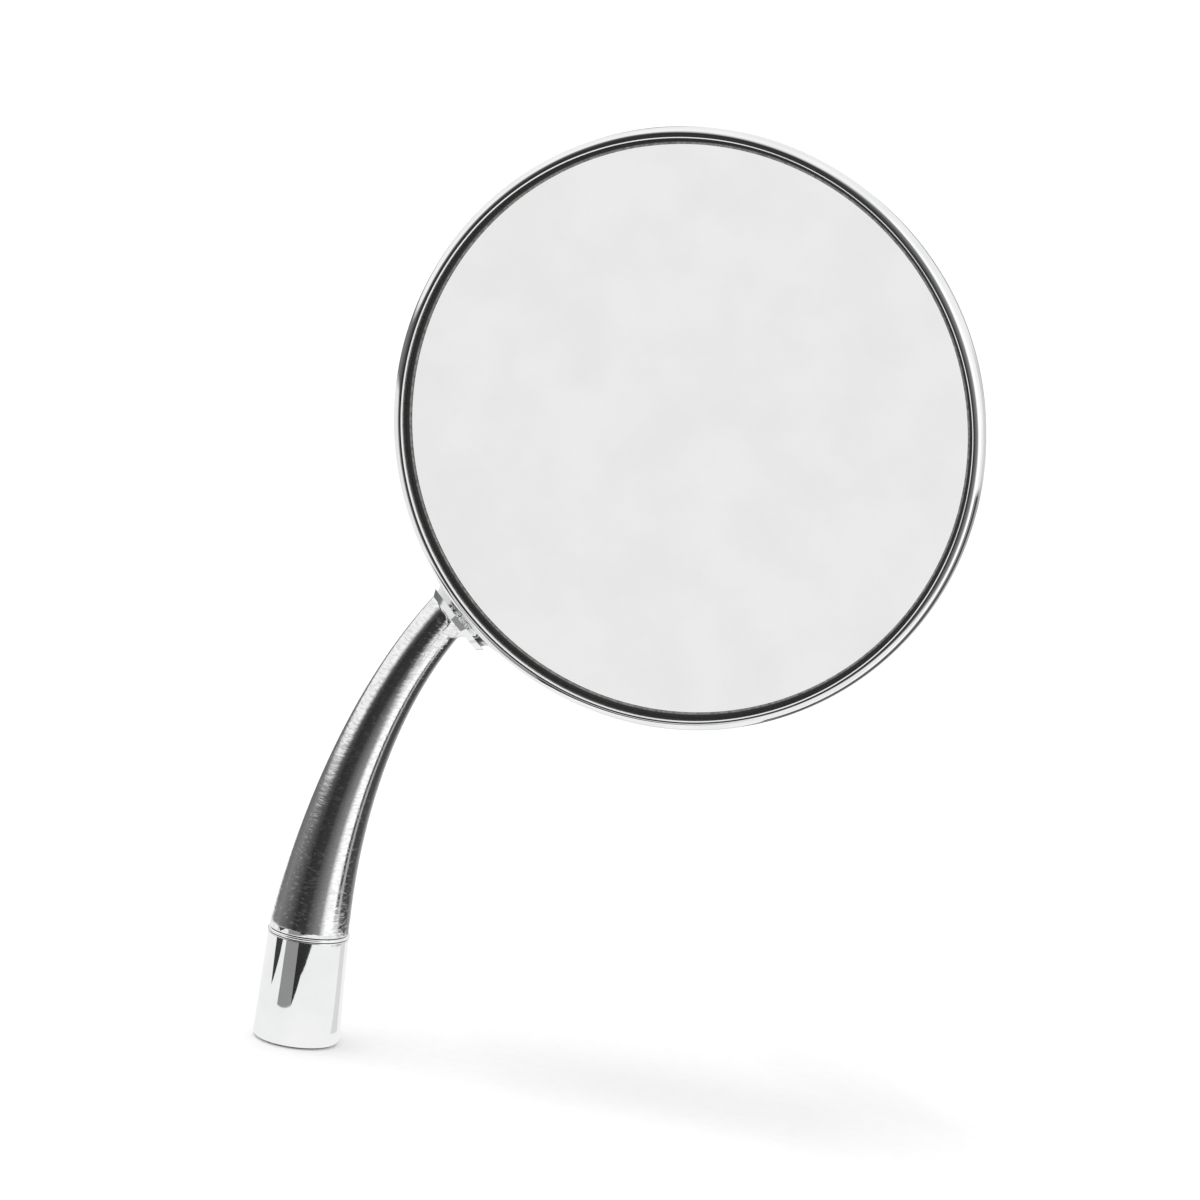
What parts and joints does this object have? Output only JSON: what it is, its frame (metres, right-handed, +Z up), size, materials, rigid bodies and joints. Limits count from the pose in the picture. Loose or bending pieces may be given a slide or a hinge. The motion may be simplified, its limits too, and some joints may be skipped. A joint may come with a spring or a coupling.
{
  "type": "exterior rear-view mirror",
  "caption": "Round chromed exterior rear-view mirror on a curved tapered arm that swivels on a beaded ferrule, with a friction joint behind the rim.",
  "frame": {"origin": "centre of the ferrule's base face, on the axis of the stud socket", "axes": "+Z up the ferrule's axis, -Y the way the glass faces, +X from the base towards the head"},
  "size_m": [0.1181, 0.0294, 0.1742],
  "materials": {
    "black_rubber": "matt",
    "plain_steel": "turned",
    "spring_steel": "oiled",
    "cast_chrome": "bright, with a faint cast ripple",
    "rolled_chrome": "bright polished",
    "pale_nylon": "satin",
    "silvered_glass": "polished",
    "grey_foam": "closed-cell foam"
  },
  "bodies": {
    "base": {"base_pad": "black_rubber", "base_core": "plain_steel", "base_sleeve": "cast_chrome", "bead_ring": "cast_chrome", "swivel_washer": "pale_nylon"},
    "lock": {"lock_screw": "plain_steel"},
    "arm": {"arm": "cast_chrome", "friction_washer": "pale_nylon", "thrust_washer": "plain_steel", "disc_spring_1": "spring_steel", "disc_spring_2": "spring_steel", "disc_spring_3": "spring_steel", "disc_spring_4": "spring_steel", "nut_washer": "plain_steel", "joint_nut": "plain_steel"},
    "head": {"neck_boss": "rolled_chrome", "back_shell": "rolled_chrome", "rim_ring": "rolled_chrome", "glass_gasket": "black_rubber", "mirror_glass": "silvered_glass", "backing_pad": "grey_foam", "backing_plate": "plain_steel"}
  },
  "joints": [
    {"name": "arm_swivel", "type": "hinge", "parent": "base", "child": "arm", "pos_m": [0, 0, 0.015], "axis": [0, 0, 1], "continuous": true},
    {"name": "head_roll", "type": "hinge", "parent": "arm", "child": "head", "pos_m": [0.01973, 0.0001, 0.07977], "axis": [-0.6484, -0.2966, -0.7011], "continuous": true},
    {"name": "lock_screw_travel", "type": "slide", "parent": "base", "child": "lock", "axis": [0, 1, 0], "range_m": [0, 0.0008]}
  ]
}
